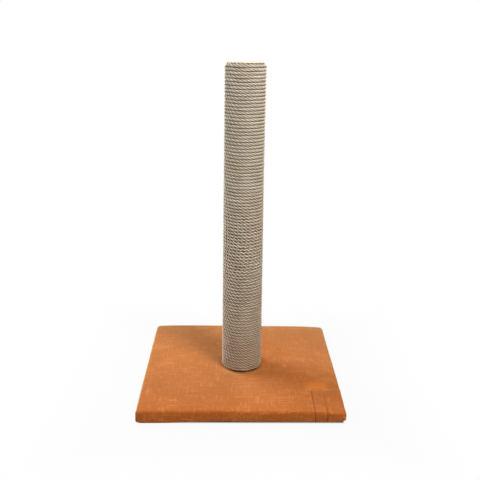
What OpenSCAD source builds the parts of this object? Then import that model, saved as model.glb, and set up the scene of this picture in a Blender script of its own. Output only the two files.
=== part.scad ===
// Cat scratching post: a tube wound with sisal rope, bolted to a padded square base.
// Lengths are in millimetres. The origin is the middle of the base on the floor, and the front faces -Y.

/* [Base] */
// Side of the square base, over its cover at the widest
base_w = 400; // [340:5:480]
// Radius of the base's corners, seen from above
base_corner_r = 12; // [8:1:20]
// Radius of the cover where it turns over the top edge
edge_r = 9; // [8:0.5:11]
// Radius of the cover where it turns under the base
under_r = 4; // [3:0.5:5]
// Height of the middle of the top above its edges
crown_h = 1.5; // [0.5:0.25:3]
// How far the cover is pulled down at the corners
corner_drop = 3.5; // [1:0.25:4]
// Thickness of the board
board_t = 15; // [12:1:20]
// Radius of the board's corners, seen from above
board_corner_r = 16; // [12:1:24]
// How much the board's top edges are eased
board_ease = 3; // [2:0.5:5]
// Thickness of the foam on top of the board
foam_t = 4; // [3.5:0.5:8]
// Thickness of the foam at the sides of the board
foam_side_t = 2.7; // [2:0.1:5]
// Thickness of the felt cover
cover_t = 1.6; // [1.2:0.1:2]
// Width of the hem that is turned under the board
hem_w = 45; // [35:1:55]
// How far the foot of the post presses into the padding
foot_sink = 2; // [1:0.25:2.5]

/* [Underside] */
// Thickness of the lining
lining_t = 0.8; // [0.5:0.1:1.2]
// How far the lining reaches over the hem
lining_lap = 17; // [12:1:22]
// Diameter of the lining's hole for the bolt
lining_hole_d = 36; // [32:1:50]
// Diameter of a foot
foot_d = 30; // [20:1:40]
// Height of a foot
foot_h = 3; // [2:0.5:8]
// Distance of the feet from the middle, along each side
foot_reach = 148; // [110:1:150]

/* [Tab] */
// Width of the felt tab over the front edge
tab_w = 21.5; // [16:0.5:30]
// Place of the tab's middle, to the right of the base's middle
tab_x = 150; // [100:1:152]
// Distance from the front of the base to the tab's sewn end
tab_reach = 88; // [60:1:100]
// Distance that the tab runs back under the base
tab_under = 26; // [20:1:32]
// How far the tab's sewn end is pulled into the padding
tab_sink = 2; // [1:0.25:2.25]
// Radius of the dent around the tab's sewn end
tab_dent_r = 30; // [24:1:36]

/* [Post] */
// Diameter of the post over its rope
post_d = 80; // [70:1:110]
// Height of the whole scratching post
overall_h = 654; // [450:1:900]
// Wall of the cardboard tube
tube_wall = 5; // [3:0.5:8]
// How much the tube's upper edge is eased, where the rope turns over it
tube_ease = 2; // [1.5:0.25:2.5]
// Length of the plug at the foot of the tube
bottom_plug_l = 30; // [24:1:36]
// Length of the plug at the top of the tube
top_plug_l = 20; // [14:1:40]

/* [Rope] */
// Diameter of the rope
rope_d = 6; // [5:0.5:7]
// Least gap between two turns of the rope
turn_gap = 0.55; // [0.55:0.05:1.5]
// How far the first turn on top stands over the last turn on the side
edge_rise = 3.6; // [3.3:0.1:4.5]
// Direction of the rope's lower end, seen from above
rope_start_angle = 100; // [0:5:355]
// Radius of the bend where the rope's upper end goes down into its hole
tuck_r = 4.25; // [4:0.25:4.5]
// Distance from the middle of the top to the start of that bend
tuck_reach = 3.25; // [3:0.25:3.5]

/* [Fasteners] */
// Nominal diameter of the clamp bolt
bolt_d = 8; // [6:1:10]
// Length of the bolt under its head
bolt_l = 50; // [45:1:55]
// Width of the bolt's head across its flats
bolt_flats = 13; // [10:1:17]
// Height of the bolt's head
bolt_head_h = 5.3; // [4:0.1:6]
// Outer diameter of the washer
washer_d = 24; // [20:1:28]
// Thickness of the washer
washer_t = 2; // [1.5:0.25:3]
// Depth of the hollow for the bolt's head in the board
head_hollow_h = 9; // [8:0.5:11]
// Diameter of the tee nut's barrel
nut_barrel_d = 10.5; // [10:0.5:14]
// Length of the tee nut's barrel
nut_barrel_l = 12; // [8:1:16]
// Diameter of the tee nut's flange
nut_flange_d = 24; // [20:1:30]
// Thickness of the tee nut's flange
nut_flange_t = 1.5; // [1:0.25:2.5]
// Diameter of a plug nail
nail_d = 2; // [1.5:0.25:2.5]
// Length of a plug nail
nail_l = 22; // [16:1:24]
// Nails in each plug
nail_count = 4; // [3:1:6]
// Thickness of a staple's wire
staple_wire = 0.7; // [0.5:0.1:0.9]
// Width of a staple
staple_w = 12; // [8:1:14]
// Length of a staple's legs
staple_leg = 10; // [8:1:12]
// Cover staples along each side
side_staples = 6; // [2:2:6]
// Lining staples along each side
lining_staples_side = 4; // [2:1:6]

/* [Clearances] */
// Gap between flat pieces that lie on each other
seat_gap = 0.1; // [0.05:0.05:0.2]
// Gap between the rope and what it is wound on
rope_gap = 0.3; // [0.2:0.1:0.5]
// Gap between the rope's flat spiral and the top of the tube
top_gap = 0.6; // [0.55:0.05:0.9]
// Gap around each plug in the tube, and around fixed barrels and nails in their holes
plug_gap = 0.1; // [0.05:0.05:0.2]
// Radial gap between the bolt's thread and the tee nut
thread_gap = 0.05; // [0.02:0.01:0.1]
// Radial gap around the bolt in its through holes
bolt_gap = 0.6; // [0.4:0.1:1]

/* [Hidden] */
$fn = 96;

// Heights of the base's layers, from the floor up.
lining_z = foot_h;
cover_z = lining_z + lining_t + seat_gap;
board_z = cover_z + cover_t + seat_gap;
board_top = board_z + board_t;
foam_top = board_top + seat_gap + foam_t;
base_h = foam_top + seat_gap + cover_t;
top_edge_z = base_h - crown_h;

// Plan sizes of the base's layers.
half_w = base_w / 2;
side_stack = cover_t + seat_gap + foam_side_t + seat_gap;
tab_t = cover_t;
board_w = base_w - 2 * side_stack;
hem_hole_w = base_w - 2 * hem_w;
lining_w = hem_hole_w + 2 * lining_lap;

// Levels of the post, from its seat in the padding up.
seat_z = base_h - foot_sink;
tube_z = seat_z + seat_gap;
turn_z = rope_d + turn_gap;
wind_r = (post_d - rope_d) / 2;
first_turn_z = seat_z + rope_gap + rope_d / 2;
top_turn_z = overall_h - rope_d / 2;
last_turn_z = top_turn_z - edge_rise;
tube_top = top_turn_z - rope_d / 2 - top_gap;
tube_d = 2 * (wind_r - rope_d / 2 - rope_gap);
tube_bore_d = tube_d - 2 * tube_wall;
plug_d = tube_bore_d - 2 * plug_gap;
bottom_plug_top = tube_z + bottom_plug_l;
top_plug_z = tube_top - top_plug_l;

// The rope's route is made of half turns. Point k lies at [distance from the axis, height].
side_halves = floor(2 * (last_turn_z - first_turn_z) / turn_z);
half_rise = (last_turn_z - first_turn_z) / side_halves;
first_top_r = wind_r - sqrt(turn_z * turn_z - edge_rise * edge_rise);
edge_r_half = first_top_r + turn_z / 2;
edge_z_half = last_turn_z - half_rise + sqrt(turn_z * turn_z - pow(wind_r - edge_r_half, 2));
least_top_r = 0.85 * rope_d;
top_halves = floor((first_top_r - least_top_r) / (turn_z / 2));
last_point = side_halves + 2 + top_halves;
tuck_side = last_point % 2 == 0 ? 1 : -1;
tuck_drop = rope_d;
odd_thinning = 0.1;
odd_reach = 0.6;
tuck_hole_d = rope_d + 2;
tuck_hole_h = tuck_r + tuck_drop + rope_gap - (top_turn_z - tube_top);
rope_staple_angles = [-9, -26];

// Heights of the clamp's pieces at rest.
hollow_top = board_z + head_hollow_h;
hollow_d = washer_d + 4 * bolt_gap;
head_z = hollow_top - washer_t - bolt_head_h;
bolt_hole_d = bolt_d + 2 * bolt_gap;
nut_bore_d = bolt_d + 2 * thread_gap;
prong_inset = 2.5;
prong_l = 5;
prong_w = 3;
prong_t = 1.2;

// Rings of the base's skin, as insets from the widest outline: the turn under, the top edge and the crown.
under_angles = [270, 225, 180];
edge_angles = [180, 157.5, 135, 112.5, 90];
crown_shares = [0.12, 0.25, 0.42, 0.66];
inner_roundness = 0.8;
corner_steps = 6;
side_steps = 4;
crown_power = 2.5;
drop_start = 0.3;
drop_power = 4;
foot_dent_margin = 1.5;
foot_dent_blend = 14;
bed_rise = edge_r / 4;

// The dent at the tab's sewn end is the mark of a large ball that rests in the padding.
tab_end_z = crown_z(tab_reach);
tab_ball_r = (tab_dent_r * tab_dent_r + tab_sink * tab_sink) / (2 * tab_sink);
tab_ball_z = tab_end_z - tab_sink + tab_ball_r;
dent_steps = 8;

// Rows of staples: their insets, and how far they reach from the middle of a side.
cover_staple_inset = 0.4 * hem_w;
cover_staple_reach = 0.97 * (tab_x - tab_w / 2 - staple_w);
lining_staple_inset = 0.45 * lining_lap;
lining_staple_reach = 0.8 * (foot_reach - foot_d / 2);
tab_staple_inset = 0.6 * tab_under;

// How far a cut runs past the face that it opens.
overcut = 1;

function side(k) = k % 2 == 0 ? 1 : -1;

function route(k) =
  k <= side_halves ? [side(k) * wind_r, first_turn_z + k * half_rise]
  : k == side_halves + 1 ? [side(k) * edge_r_half, edge_z_half]
  : k == last_point ? [side(k) * tuck_reach, top_turn_z]
  : [side(k) * (first_top_r - (k - side_halves - 2) * turn_z / 2), top_turn_z];

// Height and inset of the skin's rings, drawn in by o from the outside of the cover.
function skin_rings(o) = concat(
  [for (a = under_angles) [under_r + (under_r - o) * cos(a), cover_z + under_r + (under_r - o) * sin(a)]],
  [for (a = edge_angles) [edge_r + (edge_r - o) * cos(a), top_edge_z - edge_r + (edge_r - o) * sin(a)]],
  [for (share = crown_shares) [share * half_w, crown_z(share * half_w) - o]]
);

function crown_z(inset) = base_h - crown_h * pow((half_w - inset) / (half_w - edge_r), crown_power);

// How far the cover is pulled down at a place, from nothing at the middle to corner_drop at a corner.
function drop(x, y, z) =
  corner_drop * pow(max(0, (abs(x * y) / (half_w * half_w) - drop_start) / (1 - drop_start)), drop_power)
  * max(0, (z - cover_z - under_r) / (base_h - cover_z - under_r));

// The rings' corners grow rounder from the outline to the innermost ring.
function ring_corner_r(inset) =
  let (last = crown_shares[len(crown_shares) - 1] * half_w, inner_r = inner_roundness * (half_w - last))
  base_corner_r + (inner_r - base_corner_r) * inset / last;

// A ring of points round the base, counter-clockwise from the middle of the right side.
function ring(inset, z) =
  let (h = half_w - inset, r = ring_corner_r(inset), flat = h - r)
  [
    for (q = [0:3])
      for (p = concat(
        [for (i = [0:corner_steps]) let (a = 90 * i / corner_steps) flat * [1, 1] + r * [cos(a), sin(a)]],
        [for (i = [1:side_steps - 1]) [flat - 2 * flat * i / side_steps, h]]
      ))
        let (x = p[0] * cos(90 * q) - p[1] * sin(90 * q), y = p[0] * sin(90 * q) + p[1] * cos(90 * q))
        [x, y, z - drop(x, y, z)]
  ];

// The skin's outline across the front edge, as [distance from the middle, height], drawn in by o.
function front_line(o) = concat(
  [[-(half_w - tab_under), cover_z + o]],
  [for (p = skin_rings(o)) if (p[0] < tab_reach - tab_dent_r) front_point(p, o)],
  [
    for (i = [dent_steps:-1:0])
      let (inset = tab_reach - tab_dent_r * i / dent_steps)
      front_point([inset, crown_z(inset) - o], o)
  ]
);

function front_point(p, o) =
  let (
    y = half_w - p[0],
    away = abs(tab_reach - p[0]),
    r = tab_ball_r + o,
    dented = away < tab_dent_r + edge_r ? tab_ball_z - sqrt(r * r - away * away) : p[1]
  )
  [-y, min(p[1] - drop(tab_x, y, p[1]), dented)];

// Places of the staples along one side, and the row of all four sides.
function along(count, spacing) = [for (i = [0:count - 1]) (i - (count - 1) / 2) * spacing];

// Stretch k of the rope along an arc of radius r. Odd stretches are a hair thinner and reach into even ones.
module rope_arc(k, r, angle) {
  odd = k % 2;
  rotate([0, 0, -odd * odd_reach])
    rotate_extrude(angle = angle + 2 * odd * odd_reach)
      translate([r, 0])
        circle(d = rope_d - odd * odd_thinning);
}

// The half turn of rope from point k of the route to the next.
module half_turn(k) {
  a = route(k);
  b = route(k + 1);
  middle = (a + b) / 2;
  tilt = atan((b[1] - a[1]) / (b[0] - a[0]));
  translate([middle[0], 0, middle[1]])
    rotate([0, -tilt, 0])
      rotate([0, 0, a[0] > b[0] ? 180 : 0])
        rope_arc(k, norm(b - a) / 2, 180);
}

// A square plate with round corners, w wide and t thick, from height z up.
module round_plate(w, r, z, t) {
  translate([0, 0, z])
    union() {
      translate([-w / 2, -w / 2 + r, 0]) cube([w, w - 2 * r, t]);
      translate([-w / 2 + r, -w / 2, 0]) cube([w - 2 * r, w, t]);
      for (x = [-1, 1], y = [-1, 1])
        translate([x * (w / 2 - r), y * (w / 2 - r), 0]) cylinder(r = r, h = t);
    }
}

// The board's form: a square plate whose top edges are eased, grown by g.
module eased_board(g) {
  w = board_w + 2 * g;
  r = board_corner_r + g;
  translate([0, 0, board_z - g])
    hull() {
      linear_extrude(board_t + 2 * g - board_ease) round_square(w, r);
      linear_extrude(board_t + 2 * g) round_square(w - 2 * board_ease, r);
    }
}

module round_square(w, r) {
  steps = 8;
  polygon([
    for (q = [0:3], i = [0:steps])
      let (a = 90 * (q + i / steps), c = 90 * q + 45)
      (w / 2 - r) * sqrt(2) * [cos(c), sin(c)] + r * [cos(a), sin(a)]
  ]);
}

// The closed form of the padded base, drawn in by o from the outside of its cover.
module padded_form(o) {
  rings = skin_rings(o);
  count = 4 * (corner_steps + side_steps);
  last = len(rings) - 1;
  points = concat([for (p = rings) each ring(p[0], p[1])], [[0, 0, rings[0][1]], [0, 0, rings[last][1]]]);
  bands = [
    for (j = [0:last - 1], i = [0:count - 1])
      let (a = j * count + i, b = j * count + (i + 1) % count)
      each [[a, a + count, b], [b, a + count, b + count]]
  ];
  middle = len(points) - 2;
  floor_fan = [for (i = [0:count - 1]) [middle, i, (i + 1) % count]];
  top_fan = [for (i = [0:count - 1]) [middle + 1, last * count + (i + 1) % count, last * count + i]];
  polyhedron(points, concat(bands, floor_fan, top_fan), convexity = 4);
}

// The dent under the foot of the post, let down by o.
module foot_dent(o) {
  steps = 8;
  r = post_d / 2 + foot_dent_margin;
  rotate_extrude()
    polygon(concat(
      [[0, seat_z - o]],
      [
        for (i = [0:steps])
          [r + foot_dent_blend * i / steps, base_h - o - foot_sink * (1 + cos(180 * i / steps)) / 2]
      ],
      [[r + foot_dent_blend, base_h + edge_r], [0, base_h + edge_r]]
    ));
}

// The dent at the tab's sewn end, let down by o.
module tab_dent(o) {
  translate([tab_x, tab_reach - half_w, tab_ball_z])
    sphere(r = tab_ball_r + o);
}

// A strip over the front edge, from o1 to o2 inside the cover's outside, half_tab wide to each side.
module front_strip(o1, o2, half_tab) {
  translate([tab_x + half_tab, 0, 0])
    rotate([90, 0, -90])
      linear_extrude(2 * half_tab)
        polygon([for (p = concat(front_line(o2), reversed(front_line(o1)))) [-p[0], p[1]]]);
}

function reversed(points) = [for (i = [len(points) - 1:-1:0]) points[i]];

// The bed that the tab lies in: all that is outside the tab's underside, let in further by o.
module tab_bed(o) {
  front_strip(-bed_rise, tab_t + seat_gap + o, tab_w / 2 + seat_gap + o);
}

// A staple with its crown under height z, along x, and its legs up.
module staple(z) {
  translate([-staple_w / 2, -staple_wire / 2, z - staple_wire]) cube([staple_w, staple_wire, staple_wire]);
  staple_legs(z - staple_wire, staple_leg, 0);
}

module staple_legs(z, length, gap) {
  for (x = [-1, 1])
    translate([x * (staple_w - staple_wire) / 2, 0, z + length / 2])
      cube([staple_wire + 2 * gap, staple_wire + 2 * gap, length + 2 * gap], center = true);
}

module at_cover_staples() {
  inset = cover_staple_inset;
  for (q = [0:3])
    rotate([0, 0, 90 * q]) {
      for (x = along(side_staples, 2 * cover_staple_reach / (side_staples - 1)))
        translate([x, -half_w + inset, 0]) children();
      translate([half_w - inset, -half_w + inset, 0]) rotate([0, 0, 45]) children();
    }
}

module at_lining_staples() {
  for (q = [0:3])
    rotate([0, 0, 90 * q])
      for (x = along(lining_staples_side, 2 * lining_staple_reach / (lining_staples_side - 1)))
        translate([x, -lining_w / 2 + lining_staple_inset, 0]) children();
}

module at_tab_staple() {
  translate([tab_x, -half_w + tab_staple_inset, 0]) children();
}

// The legs' slots of every staple under the base, which enter the hem and the board.
module staple_slots() {
  at_cover_staples() staple_legs(cover_z - staple_wire, staple_leg, seat_gap / 2);
  at_lining_staples() staple_legs(lining_z - staple_wire, staple_leg, seat_gap / 2);
  at_tab_staple() staple_legs(cover_z - staple_wire, staple_leg, seat_gap / 2);
}

module base_board() {
  color("burlywood")
    difference() {
      eased_board(0);
      cylinder(d = bolt_hole_d, h = 2 * base_h);
      cylinder(d = hollow_d, h = hollow_top);
      staple_slots();
    }
}

module foam_pad() {
  color("khaki")
    difference() {
      padded_form(cover_t + seat_gap);
      eased_board(seat_gap);
      cylinder(d = bolt_hole_d, h = 2 * base_h);
      foot_dent(cover_t + seat_gap);
      tab_dent(cover_t + seat_gap);
      tab_bed(cover_t + seat_gap);
    }
}

module base_cover() {
  color("chocolate")
    difference() {
      padded_form(0);
      difference() {
        padded_form(cover_t);
        foot_dent(cover_t);
        tab_dent(cover_t);
        tab_bed(cover_t);
      }
      round_plate(hem_hole_w, base_corner_r, 0, board_z);
      eased_board(seat_gap);
      cylinder(d = bolt_hole_d, h = 2 * base_h);
      foot_dent(0);
      tab_dent(0);
      tab_bed(0);
      staple_slots();
    }
}

module cover_staples() {
  color("silver")
    at_cover_staples() staple(cover_z);
}

module base_lining() {
  color("dimgray")
    difference() {
      round_plate(lining_w, base_corner_r, lining_z, lining_t);
      cylinder(d = lining_hole_d, h = base_h);
      staple_slots();
    }
}

module lining_staples() {
  color("silver")
    at_lining_staples() staple(lining_z);
}

module foot(x, y) {
  color("black")
    translate([x * foot_reach, y * foot_reach, 0])
      cylinder(d = foot_d, h = foot_h);
}

module edge_tab() {
  color("darkorange")
    difference() {
      front_strip(0, tab_t, tab_w / 2);
      at_tab_staple() staple_legs(cover_z - staple_wire, staple_leg, seat_gap / 2);
    }
}

// Two rows of stitches across the tab's sewn end.
module tab_stitching() {
  pitch = 4;
  stitch = [2.6, 0.7, 0.4];
  margin = 2.5;
  row_gap = 5;
  color("peru")
    for (row = [0:1], x = along(floor((tab_w - 2 * margin) / pitch), pitch))
      stitch_at(tab_x + x, tab_reach - margin - row * row_gap, stitch);
}

module stitch_at(x, inset, size) {
  z = front_point([inset, crown_z(inset)], 0)[1];
  translate([x, -half_w + inset, z + seat_gap + size[2] / 2])
    cube(size, center = true);
}

module tab_staple() {
  color("silver")
    at_tab_staple() staple(cover_z);
}

// The nails of one plug, as shanks and flush heads, grown by gap for their holes.
module plug_nails(z, gap) {
  head_d = 2 * nail_d;
  head_t = nail_d / 2;
  for (i = [0:nail_count - 1])
    rotate([0, 0, 360 / nail_count * (i + 0.5)])
      translate([tube_d / 2, 0, z])
        rotate([0, -90, 0]) {
          translate([0, 0, -gap]) cylinder(d = nail_d + 2 * gap, h = nail_l + 2 * gap);
          translate([0, 0, -gap]) cylinder(d = head_d + 2 * gap, h = head_t + 2 * gap);
        }
}

module post_tube() {
  color("tan")
    difference() {
      rotate_extrude()
        polygon([
          [0, tube_z], [tube_d / 2, tube_z], [tube_d / 2, tube_top - tube_ease],
          [tube_d / 2 - tube_ease, tube_top], [0, tube_top]
        ]);
      translate([0, 0, tube_z - overcut]) cylinder(d = tube_bore_d, h = tube_top - tube_z + 2 * overcut);
      plug_nails(tube_z + bottom_plug_l / 2, plug_gap / 2);
      plug_nails(tube_top - top_plug_l / 2, plug_gap / 2);
      at_rope_staples() rope_staple_legs(plug_gap / 2);
    }
}

module bottom_plug() {
  color("burlywood")
    difference() {
      translate([0, 0, tube_z]) cylinder(d = plug_d, h = bottom_plug_l);
      cylinder(d = bolt_hole_d, h = overall_h);
      translate([0, 0, bottom_plug_top - nut_barrel_l - plug_gap])
        cylinder(d = nut_barrel_d + 2 * plug_gap, h = nut_barrel_l + overcut);
      prongs(plug_gap);
      plug_nails(tube_z + bottom_plug_l / 2, plug_gap / 2);
    }
}

module top_plug() {
  color("burlywood")
    difference() {
      translate([0, 0, top_plug_z]) cylinder(d = plug_d, h = top_plug_l);
      rotate([0, 0, rope_start_angle])
        translate([tuck_side * tuck_reach, -tuck_side * tuck_r, tube_top - tuck_hole_h])
          cylinder(d = tuck_hole_d, h = tuck_hole_h + overcut);
      plug_nails(tube_top - top_plug_l / 2, plug_gap / 2);
    }
}

// The tee nut's prongs, grown by gap for their pockets.
module prongs(gap) {
  for (a = [0:90:270])
    rotate([0, 0, a])
      translate([nut_flange_d / 2 - prong_inset, 0, bottom_plug_top - prong_l / 2])
        cube([prong_t + 2 * gap, prong_w + 2 * gap, prong_l + 2 * gap], center = true);
}

module tee_nut() {
  color("silver")
    difference() {
      union() {
        translate([0, 0, bottom_plug_top - nut_barrel_l])
          cylinder(d = nut_barrel_d, h = nut_barrel_l + nut_flange_t);
        translate([0, 0, bottom_plug_top]) cylinder(d = nut_flange_d, h = nut_flange_t);
        prongs(0);
      }
      cylinder(d = nut_bore_d, h = overall_h);
    }
}

module sisal_rope() {
  echo(least_gap_between_turns = least_gap());
  color("wheat")
    rotate([0, 0, rope_start_angle])
      difference() {
        union() {
          for (k = [0:last_point - 1])
            half_turn(k);
          rope_tuck();
        }
        rotate([0, 0, -rope_start_angle])
          at_rope_staples() rope_staple_legs(plug_gap / 2);
      }
}

// The rope's upper end: a quarter bend down, then a straight stretch into the hole of the top plug.
module rope_tuck() {
  odd = (last_point + 1) % 2;
  translate([tuck_side * tuck_reach, 0, top_turn_z - tuck_r])
    rotate([90, 0, -tuck_side * 90])
      rope_arc(last_point, tuck_r, 90);
  translate([tuck_side * tuck_reach, -tuck_side * tuck_r, top_turn_z - tuck_r - tuck_drop])
    cylinder(d = rope_d - odd * odd_thinning, h = tuck_drop + odd * odd_thinning / 2);
}

// Points along the middle of the rope, and the least distance between its turns less the rope's diameter.
function rope_points() =
  let (steps = 18)
  concat(
    [
      for (k = [0:last_point - 1])
        let (a = route(k), b = route(k + 1), middle = (a + b) / 2, reach = (a - b) / 2, span = norm(reach))
        for (i = [0:steps - 1])
          [
            middle[0] + reach[0] * cos(180 * i / steps),
            -side(k) * span * sin(180 * i / steps),
            middle[1] + reach[1] * cos(180 * i / steps)
          ]
    ],
    [
      for (a = [0:15:90])
        [tuck_side * tuck_reach, -tuck_side * tuck_r * sin(a), top_turn_z - tuck_r + tuck_r * cos(a)]
    ],
    [[tuck_side * tuck_reach, -tuck_side * tuck_r, top_turn_z - tuck_r - tuck_drop]]
  );

function least_gap() =
  let (points = rope_points(), near = 12, far = 54)
  min([
    for (i = [0:len(points) - near - 1])
      min([for (j = [i + near:min(i + far, len(points) - 1)]) norm(points[i] - points[j])])
  ]) - rope_d;

// Places of the two staples over the rope's lower end, each with +X pointing out of the post.
module at_rope_staples() {
  for (a = rope_staple_angles)
    rotate([0, 0, rope_start_angle + a])
      translate([wind_r, 0, first_turn_z + half_rise * (1 - cos(a)) / 2])
        children();
}

module rope_staple_legs(gap) {
  leg = rope_d + tube_wall + rope_gap;
  for (y = [-1, 1])
    translate([rope_d / 2 + staple_wire - leg - gap, y * staple_w / 4, 0])
      rotate([0, 90, 0])
        cylinder(d = staple_wire + 2 * gap, h = leg + 2 * gap);
}

module rope_end_staples() {
  color("silver")
    at_rope_staples() {
      rope_staple_legs(0);
      translate([rope_d / 2 + staple_wire / 2 + seat_gap, 0, 0])
        cube([staple_wire, staple_w / 2 + staple_wire, staple_wire], center = true);
    }
}

module clamp_bolt() {
  color("silver") {
    translate([0, 0, head_z]) cylinder(d = bolt_flats / cos(30), h = bolt_head_h, $fn = 6);
    translate([0, 0, head_z]) cylinder(d = bolt_d, h = bolt_head_h + bolt_l);
  }
}

module clamp_washer() {
  color("lightgray")
    difference() {
      translate([0, 0, hollow_top - washer_t]) cylinder(d = washer_d, h = washer_t);
      cylinder(d = bolt_d + bolt_gap, h = base_h);
    }
}

base_board();
foam_pad();
base_cover();
cover_staples();
base_lining();
lining_staples();
foot(-1, -1);  // foot_front_left
foot(1, -1);  // foot_front_right
foot(-1, 1);  // foot_rear_left
foot(1, 1);  // foot_rear_right
edge_tab();
tab_stitching();
tab_staple();
post_tube();
bottom_plug();
top_plug();
color("gray") plug_nails(tube_z + bottom_plug_l / 2, 0);  // bottom_plug_nails
color("gray") plug_nails(tube_top - top_plug_l / 2, 0);  // top_plug_nails
tee_nut();
sisal_rope();
rope_end_staples();
clamp_bolt();
clamp_washer();
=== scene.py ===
import math
import random

import bpy
import numpy as np
from mathutils import Matrix, Vector


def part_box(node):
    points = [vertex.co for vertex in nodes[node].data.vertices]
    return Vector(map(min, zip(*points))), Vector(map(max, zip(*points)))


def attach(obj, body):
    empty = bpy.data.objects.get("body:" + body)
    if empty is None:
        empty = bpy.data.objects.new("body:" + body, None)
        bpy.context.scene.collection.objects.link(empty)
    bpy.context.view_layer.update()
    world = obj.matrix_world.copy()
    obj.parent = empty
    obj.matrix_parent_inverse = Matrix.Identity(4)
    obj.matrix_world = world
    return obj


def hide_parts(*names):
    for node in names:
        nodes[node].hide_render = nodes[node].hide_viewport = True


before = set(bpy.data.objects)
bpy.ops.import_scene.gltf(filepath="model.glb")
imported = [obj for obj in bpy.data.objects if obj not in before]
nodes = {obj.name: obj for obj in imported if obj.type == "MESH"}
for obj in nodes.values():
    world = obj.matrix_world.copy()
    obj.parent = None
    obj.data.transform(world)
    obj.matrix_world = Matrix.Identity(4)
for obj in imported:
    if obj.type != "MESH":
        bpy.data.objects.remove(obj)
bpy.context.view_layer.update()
mm = 0.001
print("the solid model is loaded")


def solidEdge(node, end, axis):  # in millimetres, where a solid starts (end 0) or ends (end 1)
    return round(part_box(node)[end]["xyz".index(axis)] / mm, 2)


# the camera, fitted to the outlines of the base and the post
camera = {
    "place": (-22.8, -1341.2, 706.3),  # millimetres
    "down": 16.76, "right": 0.73, "roll": 0.848,  # degrees
    "lens": 51.65, "sensor": 36.0,
}


def makeCamera():
    data = bpy.data.cameras.new("camera")
    data.lens, data.sensor_width = camera["lens"], camera["sensor"]
    data.clip_start, data.clip_end = 0.05, 20
    eye = bpy.data.objects.new("camera", data)
    bpy.context.scene.collection.objects.link(eye)
    down, right, roll = (math.radians(camera[k]) for k in ("down", "right", "roll"))
    ahead = Vector((math.sin(right) * math.cos(down), math.cos(right) * math.cos(down), -math.sin(down)))
    side = Vector((math.cos(right), -math.sin(right), 0))
    up = side.cross(ahead)
    rolledSide = side * math.cos(roll) + up * math.sin(roll)
    rolledUp = up * math.cos(roll) - side * math.sin(roll)
    turned = Matrix((rolledSide, rolledUp, -ahead)).transposed().to_4x4()
    eye.matrix_world = Matrix.Translation(Vector(camera["place"]) * mm) @ turned
    bpy.context.scene.camera = eye


makeCamera()


# how materials are written
class Wire:  # a value inside a material, so that sums on it can be written out
    def __init__(self, paint, socket):
        self.paint, self.socket = paint, socket

    def maths(self, operation, other, turned=False):
        first, second = (other, self) if turned else (self, other)
        return self.paint.node("ShaderNodeMath", {"operation": operation}, {0: first, 1: second})

    def __add__(self, other):
        return self.maths("ADD", other)

    def __mul__(self, other):
        return self.maths("MULTIPLY", other)

    def __rsub__(self, other):
        return self.maths("SUBTRACT", other, True)


class Paint:
    def __init__(self, owner):  # a new material or world
        owner.use_nodes = True
        self.owner, self.tree = owner, owner.node_tree
        self.tree.nodes.clear()

    def node(self, kind, settings={}, inputs={}, output=0):  # output is a number or a name
        made = self.tree.nodes.new(kind)
        for key, value in settings.items():
            setattr(made, key, value)
        for key, value in inputs.items():
            if isinstance(value, Wire):
                self.tree.links.new(value.socket, made.inputs[key])
            else:
                made.inputs[key].default_value = value
        return Wire(self, made.outputs[output]) if len(made.outputs) else None

    def here(self):
        return self.node("ShaderNodeTexCoord", output="Object")

    def kept(self, name, output="Fac"):  # a value kept on the piece's points
        return self.node("ShaderNodeAttribute", {"attribute_name": name}, output=output)

    def along(self, where, axis):
        return self.node("ShaderNodeSeparateXYZ", {}, {0: where}, "XYZ".index(axis))

    def stretched(self, where, amounts):
        return self.node("ShaderNodeMapping", {}, {"Vector": where, "Scale": amounts})

    def grain(self, where, scale, detail, roughness):
        inputs = {"Vector": where, "Scale": scale, "Detail": detail, "Roughness": roughness}
        return self.node("ShaderNodeTexNoise", {}, inputs)

    def span(self, value, low, high):  # 0 below low, 1 above high
        return self.node("ShaderNodeMapRange", {}, {0: value, 1: low, 2: high, 3: 0.0, 4: 1.0})

    def blend(self, share, first, second):
        return self.node("ShaderNodeMix", {"data_type": "RGBA"}, {0: share, 6: first, 7: second}, 2)

    def mixed(self, share, first, second):  # the same for whole shaders
        return self.node("ShaderNodeMixShader", {}, {0: share, 1: first, 2: second})

    def bump(self, height, strength, distance):
        inputs = {"Height": height, "Strength": strength, "Distance": distance}
        return self.node("ShaderNodeBump", {}, inputs)

    def looking(self):  # 1 for rays that see a surface, 0 for those that carry its light to other things
        kinds = ("Is Camera Ray", "Is Glossy Ray", "Is Transmission Ray")
        first, second, third = (self.node("ShaderNodeLightPath", output=kind) for kind in kinds)
        return first.maths("MAXIMUM", second).maths("MAXIMUM", third)

    def done(self, color, roughness, normal, **plain):
        inputs = {"Base Color": color, "Roughness": roughness, "Normal": normal}
        for key, value in plain.items():
            inputs[key.replace("_", " ")] = value
        shader = self.node("ShaderNodeBsdfPrincipled", {}, inputs)
        self.node("ShaderNodeOutputMaterial", {}, {"Surface": shader})
        return self.owner


def rgb(red, green, blue):
    return (red, green, blue, 1.0)


# felt: soft clouds and a fine mottle, with short thick threads both ways, and painted shade in the dent
# behind the tab and in the gap beside it
feltLook = {
    "deep": rgb(0.40, 0.088, 0.011), "plain": rgb(0.52, 0.127, 0.019), "pale": rgb(0.67, 0.205, 0.044),
    # crease: painted shade in the narrow gap beside the tab
    # pressed: a deeper orange behind the tab's end, partly the nap pulled flat and partly painted shade and
    # lost sheen in the dent
    "pressedAndShaded": rgb(0.80, 0.225, 0.036), "creaseShade": rgb(0.44, 0.070, 0.003),
    "sheen": 1.0, "sheenRoughness": 0.43, "sheenTint": rgb(1.0, 0.92, 0.47), "specular": 0.10,
    "clouds": 17, "mottle": 260, "fuzz": 900, "warp": (36, 240, 240), "weft": (240, 36, 140),  # to a metre
    "threads": (0.54, 0.76), "tones": (0.24, 0.66), "relief": 0.0004,
}


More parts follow.
